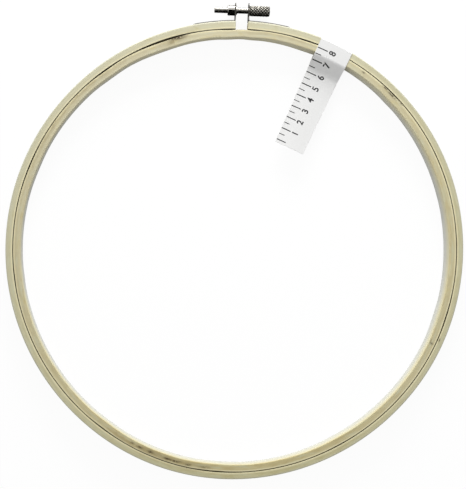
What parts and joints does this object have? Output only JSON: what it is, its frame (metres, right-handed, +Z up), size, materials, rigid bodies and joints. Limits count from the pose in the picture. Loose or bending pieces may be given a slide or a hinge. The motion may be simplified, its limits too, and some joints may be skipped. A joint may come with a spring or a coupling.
{
  "type": "embroidery hoop",
  "caption": "Round bamboo embroidery hoop: an inner ring in a split outer ring that a knurled thumb screw draws closed, with a folded paper label.",
  "frame": {"origin": "under the middle of the whole hoop's outline, ears included, on the surface it lies on; the rings' common axis is 7.7 mm towards -Y from it", "axes": "+Z up, square to the rings and out of their front face; +Y towards the split and its clamp; +X towards the knurled knob"},
  "size_m": [0.3675, 0.3828, 0.0106],
  "materials": {
    "bamboo_inner": "sanded, unvarnished",
    "bamboo_outer": "sanded, unvarnished",
    "plated_sheet": "nickel plated",
    "plated_pins": "nickel plated",
    "turned_nut": "turned, nickel plated",
    "rolled_screw": "rolled, nickel plated",
    "knurled_steel": "knurled, nickel plated",
    "coated_paper": "glossy coated"
  },
  "bodies": {
    "outer_ring_and_clamp": {"outer_ring": "bamboo_outer", "left_bracket": "plated_sheet", "right_bracket": "plated_sheet", "left_bracket_brads": "plated_pins", "right_bracket_brads": "plated_pins", "barrel_nut": "turned_nut", "label_back": "coated_paper"},
    "inner_ring": {"inner_ring": "bamboo_inner", "label_front": "coated_paper"},
    "clamp_screw": {"clamp_screw": "rolled_screw"},
    "knurled_knob": {"knurled_knob": "knurled_steel"}
  },
  "joints": [
    {"name": "inner_ring_lift", "type": "slide", "parent": "outer_ring_and_clamp", "child": "inner_ring", "axis": [0, 0, 1], "range_m": [0, 0.03]},
    {"name": "screw_travel", "type": "slide", "parent": "outer_ring_and_clamp", "child": "clamp_screw", "axis": [1, 0, 0], "range_m": [0, 0.00975]},
    {"name": "knob_turn", "type": "hinge", "parent": "clamp_screw", "child": "knurled_knob", "pos_m": [0.01415, 0.18575, 0.0053], "axis": [1, 0, 0], "range_deg": [0, 4680]}
  ],
  "couplings": [
    {"joint": "knob_turn", "follows": "screw_travel", "rad_per_m": 8377.6}
  ]
}
